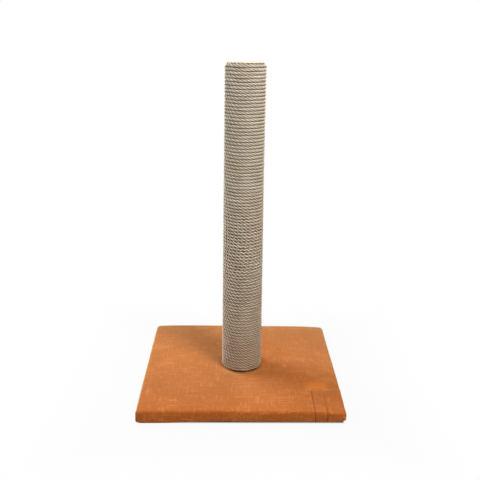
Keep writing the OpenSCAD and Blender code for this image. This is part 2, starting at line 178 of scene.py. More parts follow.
def feltPaint(name, shade):
    p = Paint(bpy.data.materials.new(name))
    where = p.here()
    clouds = p.grain(where, feltLook["clouds"], 3, 0.6)
    mottle = p.grain(where, feltLook["mottle"], 4, 0.7)
    fuzz = p.grain(where, feltLook["fuzz"], 3, 0.7)
    warp, weft = (p.grain(p.stretched(where, feltLook[k]), 1, 2, 0.5) for k in ("warp", "weft"))
    threads = p.span(warp.maths("MAXIMUM", weft), *feltLook["threads"])
    tone = p.span(clouds * 0.36 + mottle * 0.38 + threads * 0.26, *feltLook["tones"])
    deep, plain, pale = (rgb(*(v * shade for v in feltLook[k][:3])) for k in ("deep", "plain", "pale"))
    color = p.blend(p.span(tone, 0.0, 0.5), deep, plain)
    color = p.blend(p.span(tone, 0.5, 1.0), color, pale)
    # painted shade: the dent behind the tab and the gap beside it are coloured deeper
    for mark in ("pressedAndShaded", "creaseShade"):
        color = p.blend(p.kept(mark), color, feltLook[mark])
    bump = p.bump(mottle * 0.5 + threads * 0.4 + fuzz * 0.3, 0.40, feltLook["relief"])
    return p.done(color, fuzz * 0.15 + 0.78, bump, Sheen_Weight=feltLook["sheen"],
                  Sheen_Roughness=feltLook["sheenRoughness"], Sheen_Tint=feltLook["sheenTint"],
                  Specular_IOR_Level=feltLook["specular"])


# sisal: fibres that run along each strand, with painted shade where strands and rows meet and painted shade
# that makes it darker and browner towards the foot
sisalLook = {
    # deep: the colour of the painted shade in the gaps between strands and rows
    "deep": rgb(0.042, 0.020, 0.008), "plain": rgb(0.84, 0.66, 0.475), "pale": rgb(1.0, 0.93, 0.78),
    # the low colours are painted shade: darker and browner towards the foot, where less light reaches
    "shadedLowPlain": rgb(0.72, 0.53, 0.355), "shadedLowPale": rgb(1.0, 0.85, 0.65), "lowShadeTo": (0.02, 0.42),  # metres
    "fibres": (90, 2.6, 2.6), "strands": (30, 7, 7), "yarns": 45, "tones": (0.38, 0.64),
    "grooveShade": 0.96, "relief": 0.0005, "specular": 0.25,
}


def sisalPaint(name):
    p = Paint(bpy.data.materials.new(name))
    where, onStrand = p.here(), p.kept("fibre", "Vector")
    fibres = p.grain(p.stretched(onStrand, sisalLook["fibres"]), 1, 3, 0.6)
    strands = p.grain(p.stretched(onStrand, sisalLook["strands"]), 1, 2, 0.6)
    yarns = p.grain(where, sisalLook["yarns"], 2, 0.5)
    tone = p.span(fibres * 0.4 + strands * 0.35 + yarns * 0.25, *sisalLook["tones"])
    low = p.blend(tone, sisalLook["shadedLowPlain"], sisalLook["shadedLowPale"])
    high = p.blend(tone, sisalLook["plain"], sisalLook["pale"])
    # painted shade that fades in towards the foot
    color = p.blend(p.span(p.along(where, "Z"), *sisalLook["lowShadeTo"]), low, high)
    # painted shade in the gaps between strands and rows
    color = p.blend(p.kept("grooveShade") * sisalLook["grooveShade"], color, sisalLook["deep"])
    bump = p.bump(fibres * 0.5 + strands * 0.5, 0.7, sisalLook["relief"])
    return p.done(color, fibres * 0.2 + 0.7, bump, Specular_IOR_Level=sisalLook["specular"])


# everything else: two colours in a grain of its own size
grainLooks = {  # dark, light, grains to a metre each way, relief in metres, roughness
    "sisal fibre": (rgb(0.55, 0.44, 0.29), rgb(0.85, 0.75, 0.58), (400, 400, 400), 0.0003, 0.7),
    "sewing thread": (rgb(0.60, 0.27, 0.10), rgb(0.78, 0.42, 0.19), (900, 900, 900), 0.0001, 0.7),
    "lining": (rgb(0.018, 0.018, 0.020), rgb(0.055, 0.055, 0.060), (500, 500, 500), 0.0002, 0.85),
    "foot rubber": (rgb(0.020, 0.020, 0.021), rgb(0.045, 0.045, 0.046), (300, 300, 300), 0.0001, 0.6),
    "foam": (rgb(0.72, 0.64, 0.42), rgb(0.90, 0.84, 0.64), (700, 700, 700), 0.0006, 0.9),
    "board": (rgb(0.36, 0.245, 0.145), rgb(0.56, 0.41, 0.26), (220, 220, 220), 0.0003, 0.8),
    "plug wood": (rgb(0.50, 0.35, 0.20), rgb(0.72, 0.56, 0.36), (160, 160, 12), 0.0003, 0.7),
    "cardboard": (rgb(0.20, 0.14, 0.085), rgb(0.34, 0.25, 0.16), (90, 90, 400), 0.0002, 0.85),
    "zinc": (rgb(0.50, 0.50, 0.48), rgb(0.72, 0.72, 0.70), (240, 240, 240), 0.00004, 0.34),
    "wire": (rgb(0.46, 0.46, 0.46), rgb(0.66, 0.66, 0.65), (500, 500, 500), 0.00004, 0.4),
}
metals = ("zinc", "wire")


def grainPaint(name, dark, light, grains, relief, roughness):
    p = Paint(bpy.data.materials.new(name))
    where = p.stretched(p.here(), grains)
    coarse, fine = p.grain(where, 1, 4, 0.65), p.grain(where, 6, 3, 0.7)
    color = p.blend(p.span(coarse * 0.6 + fine * 0.4, 0.36, 0.64), dark, light)
    bump = p.bump(coarse * 0.4 + fine * 0.6, 0.6, relief)
    return p.done(color, fine * 0.2 + (roughness - 0.1), bump, Metallic=float(name in metals))


paints = {name: grainPaint(name, *look) for name, look in grainLooks.items()}
paints["felt"] = feltPaint("orange felt", 1.0)
paints["felt strip"] = feltPaint("orange felt strip", 0.97)
paints["sisal"] = sisalPaint("sisal")

shownSolids = {
    "board": ("base_board",), "cardboard": ("post_tube",), "plug wood": ("bottom_plug", "top_plug"),
    "zinc": ("tee_nut", "clamp_washer"),
    "wire": ("cover_staples", "lining_staples", "tab_staple", "bottom_plug_nails", "top_plug_nails",
             "rope_end_staples"),
}
for paint, solids in shownSolids.items():
    for solid in solids:
        nodes[solid].data.materials.clear()
        nodes[solid].data.materials.append(paints[paint])
print("materials are made")


# modelling helpers
def deselect():
    if bpy.context.object and bpy.context.object.mode != "OBJECT":
        bpy.ops.object.mode_set(mode="OBJECT")
    bpy.ops.object.select_all(action="DESELECT")


def pick(piece):
    deselect()
    piece.select_set(True)
    bpy.context.view_layer.objects.active = piece


def justMade(name):  # the object that the last operator added
    piece = bpy.context.object
    piece.name = piece.data.name = name
    return piece


def fromMesh(mesh):
    piece = bpy.data.objects.new(mesh.name, mesh)
    bpy.context.scene.collection.objects.link(piece)
    return piece


def readPoints(piece):
    points = np.zeros(len(piece.data.vertices) * 3)
    piece.data.vertices.foreach_get("co", points)
    return points.reshape(-1, 3)


def writePoints(piece, points):
    piece.data.vertices.foreach_set("co", np.ascontiguousarray(points, float).ravel())
    piece.data.update()


def keepValues(piece, name, kind, values):  # one value for each point, which the piece's material reads
    kept = piece.data.attributes.new(name, kind, "POINT")
    kept.data.foreach_set("vector" if kind == "FLOAT_VECTOR" else "value", np.float32(values).ravel())


def sheetOf(name, columns, rows):  # a flat grid whose corners are at -1 and 1
    deselect()
    bpy.ops.mesh.primitive_grid_add(x_subdivisions=columns, y_subdivisions=rows, size=2)
    return justMade(name)


def modify(piece, kind, **values):
    pick(piece)
    modifier = piece.modifiers.new(kind.lower(), kind)
    for key, value in values.items():
        setattr(modifier, key, value)
    bpy.ops.object.modifier_apply(modifier=modifier.name)


def openFaces(piece, chosen):  # opens the piece for editing, with only these faces selected
    pick(piece)
    bpy.ops.object.mode_set(mode="EDIT")
    bpy.ops.mesh.select_mode(type="FACE")
    bpy.ops.mesh.select_all(action="DESELECT")
    bpy.ops.object.mode_set(mode="OBJECT")
    piece.data.polygons.foreach_set("select", chosen)
    bpy.ops.object.mode_set(mode="EDIT")


def hollowUnderside(piece, rim, depth, slope=0.5):  # sinks the middle of the lowest face
    openFaces(piece, [face.normal.z < -0.9 for face in piece.data.polygons])
    bpy.ops.mesh.inset(thickness=rim * mm)
    bpy.ops.mesh.inset(thickness=slope * mm, depth=-depth * mm)
    bpy.ops.object.mode_set(mode="OBJECT")


def weld(piece, distance=0.02):
    pick(piece)
    bpy.ops.object.mode_set(mode="EDIT")
    bpy.ops.mesh.select_all(action="SELECT")
    bpy.ops.mesh.remove_doubles(threshold=distance * mm)
    bpy.ops.mesh.normals_make_consistent(inside=False)
    bpy.ops.object.mode_set(mode="OBJECT")


def thicken(piece, thickness, facesOut=True):  # adds a sheet's thickness on its inner side
    modify(piece, "SOLIDIFY", thickness=thickness * mm, offset=-1 if facesOut else 1)


def dress(piece, paint, body="scratching_post", replaced=(), smooth=50):
    piece.data.materials.clear()
    piece.data.materials.append(paints[paint])
    pick(piece)
    bpy.ops.object.shade_smooth_by_angle(angle=math.radians(smooth))
    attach(piece, body)
    if replaced:
        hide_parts(*replaced)
    return piece


def eased(value):
    value = np.clip(value, 0, 1)
    return value * value * (3 - 2 * value)


def rise(value, start, over):  # 0 up to start, and 1 from start + over on
    return eased((value - start) / over)


def hump(value, width, power=2):
    return np.exp(-((value / width) ** power))


def ripple(x, y, length, seed):  # gentle unevenness, about -1 to 1
    total = 0
    draw = random.Random(seed)
    for step in range(5):
        angle, phase = draw.uniform(0, math.pi), draw.uniform(0, 6.28)
        wave = length * draw.uniform(0.6, 1.6)
        total = total + np.sin((x * math.cos(angle) + y * math.sin(angle)) * 2 * math.pi / wave + phase)
    return total / 3.2


# the padded base, in millimetres
base = {
    "half": solidEdge("base_cover", 1, "x"), "bottom": solidEdge("base_cover", 0, "z"), "height": 26.4,
    "crown": 1.8, "crownPower": 7, "edge": 5.5, "under": 4.0, "hem": 45.0, "felt": 1.6,
    "corner": 9.0, "innerCorner": 45.0, "innerInset": 132.0, "columns": 150,
}
topEdge = base["height"] - base["crown"]
sideFoot = base["bottom"] + base["under"]
frontEdge = -base["half"]
# rings of the cover, from its middle: where its parts end, and how far the tab's bed goes
topRing, edgeRing, sideRing, turnRing, bedRing, hemRing = 70, 78, 81, 87, 94, 100

tab = {
    "x": (solidEdge("edge_tab", 0, "x") + solidEdge("edge_tab", 1, "x")) / 2,
    "width": solidEdge("edge_tab", 1, "x") - solidEdge("edge_tab", 0, "x"),
    "narrower": 1.0, "narrowSpan": (-130, 18),
    "reach": solidEdge("edge_tab", 1, "y") - frontEdge, "under": 26.0, "felt": 1.3, "round": 4.0,
    "bed": 1.8, "bedSlope": (0.4, 1.8), "proud": 0.1, "rim": 1.1, "rimFrom": 0.84, "endOver": 2.0,
    "slopeOver": 0.5, "levelAbove": 12.0, "ripples": (0.12, 30, 2), "columns": 26, "rows": 150,
    "finer": ((2, 17), (1, 5)), "finerBehind": 6.0, "finerTo": -100.0,  # cuts and margins of the finer cloth
}
sewnEnd = frontEdge + tab["reach"]

relief = {  # of the top
    "fuller": 2.0, "fullerSpan": (62.0, 70.0),  # the pad stands thicker away from the post
    "sink": 2.0, "sinkSpan": (41.5, 14.0),  # under the post
    "roll": 0.5, "rollAt": 66.0, "rollWidth": 12.0,  # round its foot
    "pull": 3.0, "pullWidth": 22.0, "behind": 40.0, "before": 10.0,  # at the tab's sewn end
    "wing": 0.5, "wingBehind": 3.0, "wingLean": 0.12, "wingDepth": 7.0, "wingWidth": 27.0,  # beside it
    "bulge": 1.6, "bulgeAside": 20.0, "bulgeWidth": 8.0, "bulgeBefore": 16.0, "bulgeDepth": 13.0,
    "ripples": ((0.22, 95, 4), (0.10, 38, 9)),  # height, length and seed
}
uneven = {  # of the edges, each with where it starts and how far it takes to come in full
    "cornerDrop": 3.5, "dropStart": 0.3, "dropPower": 4,
    "sag": 2.9, "sagX": (40, 150), "sagY": (40, 120), "sagInset": (8, 18),  # the front's left hangs low
    "lift": 2.2, "liftX": (170, 25), "liftY": (170, 25),  # the right front corner is lifted
    "swollen": 3.0, "swollenX": (40, 150), "swollenY": (150, 48), "swollenAbove": 0.4,
    "drawnSide": 1.8, "drawnCorner": 2.2, "drawnX": (110, 80), "drawnY": (110, 90),  # the right side
    "waves": ((0.0016, 120, 21), (0.0008, 46, 5)), "wavesFrom": (topRing, 6), "wavesTo": (turnRing - 2, 4),
}


def crownHeight(inset):
    share = np.maximum(base["half"] - inset, 0) / (base["half"] - base["edge"])
    return base["height"] - base["crown"] * share ** base["crownPower"]


def makeProfile(drawnIn=0.0):  # the inset and height of each ring of the cover, drawn in from its outside
    def shares(first, last):
        return np.arange(1, last - first + 1) / (last - first)

    inset = base["half"] + (base["edge"] - base["half"]) * np.append(0, shares(0, topRing))
    parts = [(inset, crownHeight(inset) - drawnIn)]
    radius, turn = base["edge"] - drawnIn, math.pi / 2 * (1 + shares(topRing, edgeRing))
    parts.append((base["edge"] + radius * np.cos(turn), topEdge - base["edge"] + radius * np.sin(turn)))
    down = shares(edgeRing, sideRing)
    parts.append((drawnIn + 0 * down, topEdge - base["edge"] + (sideFoot - topEdge + base["edge"]) * down))
    radius, turn = base["under"] - drawnIn, math.pi / 2 * (2 + shares(sideRing, turnRing))
    parts.append((base["under"] + radius * np.cos(turn), sideFoot + radius * np.sin(turn)))
    inward = shares(turnRing, hemRing)
    inset = base["under"] + (base["hem"] - base["under"]) * inward
    parts.append((inset, base["bottom"] + drawnIn + 0 * inward))
    return [np.concatenate(column) for column in zip(*parts)]


def atRing(ring, profile):
    return [np.interp(ring, np.arange(hemRing + 1), column) for column in profile]


def onRing(u, v, insets):  # where a sheet's point lies in plan, as its ring is a square with round corners
    ring = np.maximum(np.maximum(np.abs(u), np.abs(v)), 1e-9)
    half = base["half"] - insets
    inward = np.clip(insets / base["innerInset"], 0, 1)
    corner = base["corner"] + (base["innerCorner"] - base["corner"]) * inward
    corner = np.minimum(corner, np.maximum(half, 0) * 0.8)
    corner = np.where(ring > 0.8, base["corner"], corner)
    x, y = u / ring * half, v / ring * half
    alongX = np.abs(x) < np.abs(y)
    along = np.abs(np.where(alongX, x, y))
    flat = half - corner
    # on the last stretch of a side the point goes round the corner's arc
    turn = np.clip((along - flat) / np.maximum(corner, 1e-6), 0, 1) * math.pi / 4
    inner = flat + corner * np.sin(turn)
    outer = flat + corner * np.cos(turn)
    newX = np.where(along > flat, np.where(alongX, inner, outer) * np.sign(x), x)
    newY = np.where(along > flat, np.where(alongX, outer, inner) * np.sign(y), y)
    return newX, newY


def drawnDown(x, y, z):  # how far the corners are pulled down
    share = (np.abs(x * y) / base["half"] ** 2 - uneven["dropStart"]) / (1 - uneven["dropStart"])
    height = np.clip((z - sideFoot) / (base["height"] - sideFoot), 0, 1)
    return uneven["cornerDrop"] * np.maximum(share, 0) ** uneven["dropPower"] * height


def topRelief(x, y):  # the dent under the post, the pull of the tab and the felt's unevenness
    away = np.hypot(x, y)
    height = relief["fuller"] * rise(away, *relief["fullerSpan"])
    height = height + relief["roll"] * hump(away - relief["rollAt"], relief["rollWidth"])
    height = height - relief["sink"] * (1 - rise(away, *relief["sinkSpan"]))
    dx, dy = x - tab["x"], y - sewnEnd
    behind = np.clip(1 - dy / relief["behind"], 0, 1) ** 2 * (dy >= 0)
    before = (1 - eased(-dy / relief["before"])) * (dy < 0)
    height = height - relief["pull"] * hump(dx, relief["pullWidth"]) * (behind + before)
    beside = dy - relief["wingBehind"] - relief["wingLean"] * np.abs(dx)
    height = height - relief["wing"] * hump(beside, relief["wingDepth"]) * hump(dx, relief["wingWidth"], 4)
    bulge = hump(np.abs(dx) - relief["bulgeAside"], relief["bulgeWidth"])
    height = height + relief["bulge"] * bulge * hump(dy + relief["bulgeBefore"], relief["bulgeDepth"])
    return height + sum(size * ripple(x, y, length, seed) for size, length, seed in relief["ripples"])


def sidePart(z):  # 0 at the side's foot, 1 where the top's edge begins
    return np.clip((z - sideFoot) / (topEdge - base["edge"] - sideFoot), 0, 1)


def settled(x, y, z, inset):  # how the stuffed cover departs from the plain form
    upper = sidePart(z)
    slack = (1 - upper) * (1 - rise(inset, *uneven["sagInset"]))
    z = z - drawnDown(x, y, z) + topRelief(x, y) * upper
    z = z - uneven["sag"] * slack * rise(-x, *uneven["sagX"]) * rise(-y, *uneven["sagY"])
    z = z + uneven["lift"] * (1 - upper) * rise(x, *uneven["liftX"]) * rise(-y, *uneven["liftY"])
    swollen = uneven["swollen"] * rise(-x, *uneven["swollenX"]) * rise(-y, *uneven["swollenY"])
    y = y - swollen * (1 - (1 - uneven["swollenAbove"]) * upper)
    drawn = uneven["drawnSide"] * (1 - (y / base["half"]) ** 6)
    drawn = drawn + uneven["drawnCorner"] * rise(-y, *uneven["drawnY"])
    return x - drawn * rise(x, *uneven["drawnX"]), y, z


def tabWidth(y):  # a little narrower towards the sewn end
    return tab["width"] - tab["narrower"] * rise(y, *tab["narrowSpan"])


def beyondTab(x, y):  # how far a place is outside the tab's outline
    aside = np.abs(x - tab["x"]) - tabWidth(y) / 2 + tab["round"]
    behind = y - sewnEnd + tab["round"]
    return np.hypot(np.maximum(aside, 0), np.maximum(behind, 0)) - tab["round"]


def tabBed(x, y):  # how deep the tab's bed is pressed in
    return tab["bed"] * (1 - rise(beyondTab(x, y), *tab["bedSlope"]))


def wrapCover(points, profile, withBed=True):  # a flat sheet's points, wrapped round the pad
    u, v = points[:, 0], points[:, 1]
    ring = np.maximum(np.abs(u), np.abs(v)) * hemRing
    insets, heights = atRing(ring, profile)
    x, y = onRing(u, v, insets)
    x, y, z = settled(x, y, heights, insets)
    (wide, wideLength, wideSeed), (fine, fineLength, fineSeed) = uneven["waves"]
    wall = rise(ring, *uneven["wavesFrom"]) * (1 - rise(ring, *uneven["wavesTo"]))
    waves = wide * ripple(x, y, wideLength, wideSeed) + fine * ripple(x + z, y - z, fineLength, fineSeed)
    waves = 1 + wall * waves
    if withBed:
        # the bed runs over the front edge, so it is pressed in square to the section
        front = (y < 0) & ((ring <= topRing) | (np.abs(v) > np.abs(u))) & (ring < bedRing)
        depth = tabBed(x, np.where(ring > topRing, frontEdge, y)) * front
        turnsAt = [topRing, edgeRing, sideRing, turnRing]
        turn = np.interp(ring, turnsAt, [0, math.pi / 2, math.pi / 2, math.pi])
        y = y + depth * np.sin(turn)
        z = z - depth * np.cos(turn)
    return np.stack([x * waves, y * waves, z], 1) * mm


# where the dent behind the tab's end gets its painted shade
pressedAndShaded = {"share": 0.6, "width": 24.0, "behind": 10.0, "depth": 17.0, "before": 6.0}
# where the gap beside the tab gets its painted shade
creaseShade = {"share": 0.9, "rises": (-0.6, 0.6), "falls": (1.2, 0.9), "overEdge": 4.0}


def pressedAndShadedFelt(points):  # towards 1 where the felt is pulled flat behind the tab's end: the deeper orange there is partly the flattened nap and partly painted shade and lost sheen of the dent
    x, y, z = (points / mm).T
    dx, dy = x - tab["x"], y - sewnEnd
    pull = hump(dx, pressedAndShaded["width"], 4) * hump(dy - pressedAndShaded["behind"], pressedAndShaded["depth"])
    return pressedAndShaded["share"] * pull * (dy > -pressedAndShaded["before"])


def tabCreaseShade(points):  # towards 1 in the narrow gap beside the tab, where painted shade makes the felt darker
    x, y, z = (points / mm).T
    out = beyondTab(x, np.where(z < topEdge - creaseShade["overEdge"], frontEdge, y))
    return creaseShade["share"] * rise(out, *creaseShade["rises"]) * (1 - rise(out, *creaseShade["falls"])) * (y < 0)


def makeCover():
    piece = sheetOf("orangeCover", base["columns"], base["columns"])
    profile = makeProfile()
    for cuts, margin in tab["finer"]:
        place = wrapCover(readPoints(piece), profile, False) / mm
        near = np.abs(place[:, 0] - tab["x"]) < tab["width"] / 2 + margin
        near &= (place[:, 1] < sewnEnd + margin + tab["finerBehind"]) & (place[:, 1] < tab["finerTo"])
        openFaces(piece, [bool(near[list(face.vertices)].all()) for face in piece.data.polygons])
        bpy.ops.mesh.subdivide(number_cuts=cuts)
        bpy.ops.object.mode_set(mode="OBJECT")
    writePoints(piece, wrapCover(readPoints(piece), profile))
    # the painted shade of the dent, kept on the cover's points
    keepValues(piece, "pressedAndShaded", "FLOAT", pressedAndShadedFelt(readPoints(piece)))
    # the painted shade of the gap beside the tab, kept on the cover's points
    keepValues(piece, "creaseShade", "FLOAT", tabCreaseShade(readPoints(piece)))
    thicken(piece, base["felt"])
    dress(piece, "felt", replaced=["base_cover"], smooth=80)
    makeFolds()
    return piece


fold = {
    "start": 1.0, "narrow": 4.0, "wide": 20.0, "proud": 1.3, "sunk": 0.25, "felt": 1.2,
    "raisedOver": 0.10, "thinner": 0.8, "ring": 73.0, "rings": 13.5, "columns": 16, "rows": 26,
}
corners = {"FrontLeft": (-1, -1), "FrontRight": (1, -1), "RearLeft": (-1, 1), "RearRight": (1, 1)}


def makeFolds():  # the cloth left over at each corner, folded flat round onto the side
    folds = []
    for name, (sideX, sideY) in corners.items():
        piece = sheetOf("cornerFold" + name, fold["columns"], fold["rows"])
        points = readPoints(piece)
        share, down = (points[:, 0] + 1) / 2, (1 - points[:, 1]) / 2
        inset, z = atRing(fold["ring"] + down * fold["rings"], makeProfile())
        run = fold["start"] + share * (fold["narrow"] + (fold["wide"] - fold["narrow"]) * down)
        radius = base["corner"]
        middle = base["half"] - radius
        angle = np.clip(run / radius, -math.pi / 4, math.pi / 4) - math.pi / 4
        across, ahead = np.cos(angle), np.sin(angle)
        x = middle + (radius - inset) * across
        y = -middle + (radius - inset) * ahead + np.maximum(run - math.pi / 4 * radius, 0)
        if sideY > 0:  # at the rear the folds lie on the back
            x, y, across, ahead = -y, -x, -ahead, -across
        raised = eased(share / fold["raisedOver"]) * (1 - fold["thinner"] * share)
        out = fold["proud"] * raised - fold["sunk"]
        x, y, z = settled(x * sideX, y * -sideY, z, inset)
        writePoints(piece, np.stack([x + across * sideX * out, y - ahead * sideY * out, z], 1) * mm)
        weld(piece)
        facing = piece.data.polygons[len(piece.data.polygons) // 2].normal
        thicken(piece, fold["felt"], facing.x * sideX + facing.y * sideY > 0)
        folds.append(dress(piece, "felt", smooth=60))
    return folds


foam = {"reach": 0.81, "drawnIn": 2.8, "thickness": 1.8, "columns": 60}


def makeFoam():
    piece = sheetOf("foamPad", foam["columns"], foam["columns"])
    points = readPoints(piece) * [foam["reach"], foam["reach"], 1]
    writePoints(piece, wrapCover(points, makeProfile(foam["drawnIn"]), False))
    thicken(piece, foam["thickness"])
    dress(piece, "foam", replaced=["foam_pad"])
    return piece


makeFoam()
makeCover()
print("the padded base is covered")


# the tab, over the front edge
def frontSection():  # the cover's section along the tab, as distance run, y and height
    insets, heights = makeProfile()
    covered = (insets <= tab["reach"]) | (heights < topEdge)
    covered &= (heights > base["bottom"]) | (insets <= tab["under"])
    y = np.append(tab["reach"], insets[covered]) - base["half"]
    z = np.append(crownHeight(tab["reach"]), heights[covered])
    run = np.append(0, np.cumsum(np.hypot(np.diff(y), np.diff(z))))
    return run, y, z


def makeTab():
    piece = sheetOf("feltTab", tab["columns"], tab["rows"])
    points = readPoints(piece)
    run, sectionY, sectionZ = frontSection()
    across, along = points[:, 0], (1 - points[:, 1]) / 2 * run[-1]
    y, z = np.interp(along, run, sectionY), np.interp(along, run, sectionZ)
    rounding = tab["round"] - np.sqrt(tab["round"] ** 2 - np.maximum(tab["round"] - along, 0) ** 2)
    x = tab["x"] + across * (tabWidth(np.where(z < topEdge - 1, frontEdge, y)) / 2 - rounding)
    after, before = along + tab["slopeOver"], along - tab["slopeOver"]
    slopeY = np.interp(after, run, sectionY) - np.interp(before, run, sectionY)
    slopeZ = np.interp(after, run, sectionZ) - np.interp(before, run, sectionZ)
    length = np.maximum(np.hypot(slopeY, slopeZ), 1e-6)
    outY, outZ = slopeZ / length, -slopeY / length
    level = (y > base["edge"] - base["half"]) & (z > tab["levelAbove"])
    z = np.where(level, crownHeight(base["half"] - np.maximum(np.abs(x), np.abs(y))), z)
    z = z - drawnDown(x, y, z) + topRelief(x, y) * sidePart(z)
    rim = np.clip((np.abs(across) - tab["rimFrom"]) / (1 - tab["rimFrom"]), 0, 1)
    end = np.clip(1 - along / tab["endOver"], 0, 1)
    size, wave, seed = tab["ripples"]
    out = tab["proud"] - tab["rim"] * np.maximum(rim, end) ** 2
    out = out + size * ripple(x * 3, along * 1.2, wave, seed)
    writePoints(piece, np.stack([x, y + outY * out, z + outZ * out], 1) * mm)
    thicken(piece, tab["felt"])
    dress(piece, "felt strip", replaced=["edge_tab"], smooth=60)
    return piece


makeTab()
print("the tab is sewn on")


# the lining and the feet
under = {
    "liningHalf": solidEdge("base_lining", 1, "x"), "liningTop": solidEdge("base_lining", 1, "z"),
    "lining": 0.6, "hole": 18.0, "corner": 12.0, "clear": 0.1, "sag": 0.12, "columns": 240, "rows": 60,
}


def makeLining():
    piece = sheetOf("liningSheet", under["columns"], under["rows"])
    points = readPoints(piece)
    turn, reach = points[:, 0] * math.pi, (points[:, 1] + 1) / 2
    c, s = np.cos(turn), np.sin(turn)
    square = under["liningHalf"] / np.maximum(np.maximum(np.abs(c), np.abs(s)), 1e-9)
    x, y = square * c, square * s
    flat = under["liningHalf"] - under["corner"]
    cut = (np.abs(x) > flat) & (np.abs(y) > flat)  # the square's corners are rounded
    angle = np.arctan2(np.abs(y) - flat, np.abs(x) - flat)
    x = np.where(cut, np.sign(x) * (flat + under["corner"] * np.cos(angle)), x)
    y = np.where(cut, np.sign(y) * (flat + under["corner"] * np.sin(angle)), y)
    x, y = under["hole"] * c * (1 - reach) + x * reach, under["hole"] * s * (1 - reach) + y * reach
    sag = under["sag"] * (1 + ripple(x, y, 60, 12)) * eased(reach * 6) * eased((1 - reach) * 9)
    z = under["liningTop"] - under["clear"] - sag
    writePoints(piece, np.stack([x, y, z], 1) * mm)
    weld(piece)
    thicken(piece, under["lining"], piece.data.polygons[0].normal.z > 0)
    dress(piece, "lining", replaced=["base_lining"])


foot = {"ease": 0.7, "ring": 3.4, "hollow": 0.5}


def makeFeet():
    for side in ("front_left", "front_right", "rear_left", "rear_right"):
        low, high = (np.array(corner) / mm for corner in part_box("foot_" + side))
        middle = [round(place, 1) * mm for place in (low + high) / 2]
        across, height = (round((high - low)[axis], 1) * mm for axis in (0, 2))
        deselect()
        bpy.ops.mesh.primitive_cylinder_add(vertices=64, radius=across / 2, depth=height, location=middle)
        piece = justMade("foot_" + side + "_pad")
        bpy.ops.object.transform_apply(location=True, rotation=False, scale=False)
        hollowUnderside(piece, foot["ring"], foot["hollow"])
        sharp = math.radians(60)
        modify(piece, "BEVEL", width=foot["ease"] * mm, segments=3, limit_method="ANGLE", angle_limit=sharp)
        dress(piece, "foot rubber", replaced=["foot_" + side], smooth=35)


makeLining()
makeFeet()
print("the underside is closed")


# the clamp bolt, with its thread
bolt = {
    "head": solidEdge("clamp_bolt", 0, "z"), "seat": solidEdge("clamp_washer", 0, "z"),
    "end": solidEdge("clamp_bolt", 1, "z"), "flats": 13.0, "diameter": 8.0, "lead": 1.25, "depth": 0.62,
    "root": 0.08, "starts": (1, 2), "point": 0.8, "pointOver": 1.5,
    "rim": 0.9, "hollow": 0.25, "ease": 0.35, "columns": 32, "rows": 330,
}


def makeThread():
    piece = sheetOf("clampBoltThreaded", bolt["columns"], bolt["rows"])
    points = readPoints(piece)
    length = bolt["end"] - bolt["seat"]
    turn, up = points[:, 0] * math.pi, (points[:, 1] + 1) / 2 * length
    tooth = np.abs((up / bolt["lead"] - points[:, 0] / 2) % 1 - 0.5) * 2
    cut = bolt["depth"] * (bolt["root"] + (1 - bolt["root"]) * tooth) * rise(up, *bolt["starts"])
    radius = bolt["diameter"] / 2 - cut - bolt["point"] * (1 - eased((length - up) / bolt["pointOver"]))
    writePoints(piece, np.stack([radius * np.cos(turn), radius * np.sin(turn), bolt["seat"] + up], 1) * mm)
    weld(piece)
    bpy.ops.object.mode_set(mode="EDIT")
    bpy.ops.mesh.select_all(action="SELECT")
    bpy.ops.mesh.region_to_loop()
    bpy.ops.mesh.edge_face_add()
    bpy.ops.mesh.select_all(action="SELECT")
    bpy.ops.mesh.normals_make_consistent(inside=False)
    bpy.ops.object.mode_set(mode="OBJECT")
    return piece


def makeBoltHead():
    deselect()
    radius, depth = bolt["flats"] / 2 / math.cos(math.pi / 6) * mm, (bolt["seat"] - bolt["head"]) * mm
    middle = (0, 0, (bolt["head"] + bolt["seat"]) / 2 * mm)
    bpy.ops.mesh.primitive_cylinder_add(vertices=6, radius=radius, depth=depth, location=middle)
    head = justMade("clampBoltHead")
    bpy.ops.transform.rotate(value=math.radians(30), orient_axis="Z", center_override=(0, 0, 0))
    bpy.ops.object.transform_apply(location=True, rotation=True, scale=True)
    hollowUnderside(head, bolt["rim"], bolt["hollow"])
    sharp = math.radians(30)
    modify(head, "BEVEL", width=bolt["ease"] * mm, segments=2, limit_method="ANGLE", angle_limit=sharp)
    return head


threaded, boltHead = makeThread(), makeBoltHead()
dress(boltHead, "zinc", "bolt", smooth=30)
dress(threaded, "zinc", "bolt", replaced=["clamp_bolt"], smooth=35)
print("the clamp bolt is threaded")


# the sisal rope, in millimetres: its route is that of the solid model
rope = {
    "diameter": 6.0, "gap": 0.55, "postDiameter": 80.0, "height": 654.0, "seat": 24.4, "clear": 0.3,
    "edgeRise": 3.6, "startAngle": 100.0, "tuckRadius": 4.25, "tuckReach": 3.25, "tuckDrop": 6.0,
    "swell": 1.9, "swellTop": 480.0, "lean": 1.8, "leanTop": 420.0,  # it is thicker at the foot, and leans
    "lay": 24.5, "ringsPerLay": 12, "sides": 8, "laidRadius": 1.74, "strandWide": 1.46, "strandThick": 1.52,
    "fibreTurn": 1.155, "twist": (200, 0.16, 400), "ropeSwell": (17, 0.06), "strandSwell": (11, 0.04),
    "strandGap": (0.92, 0.36, 0.80), "rowGap": (0.85, 0.66, 0.80),
}


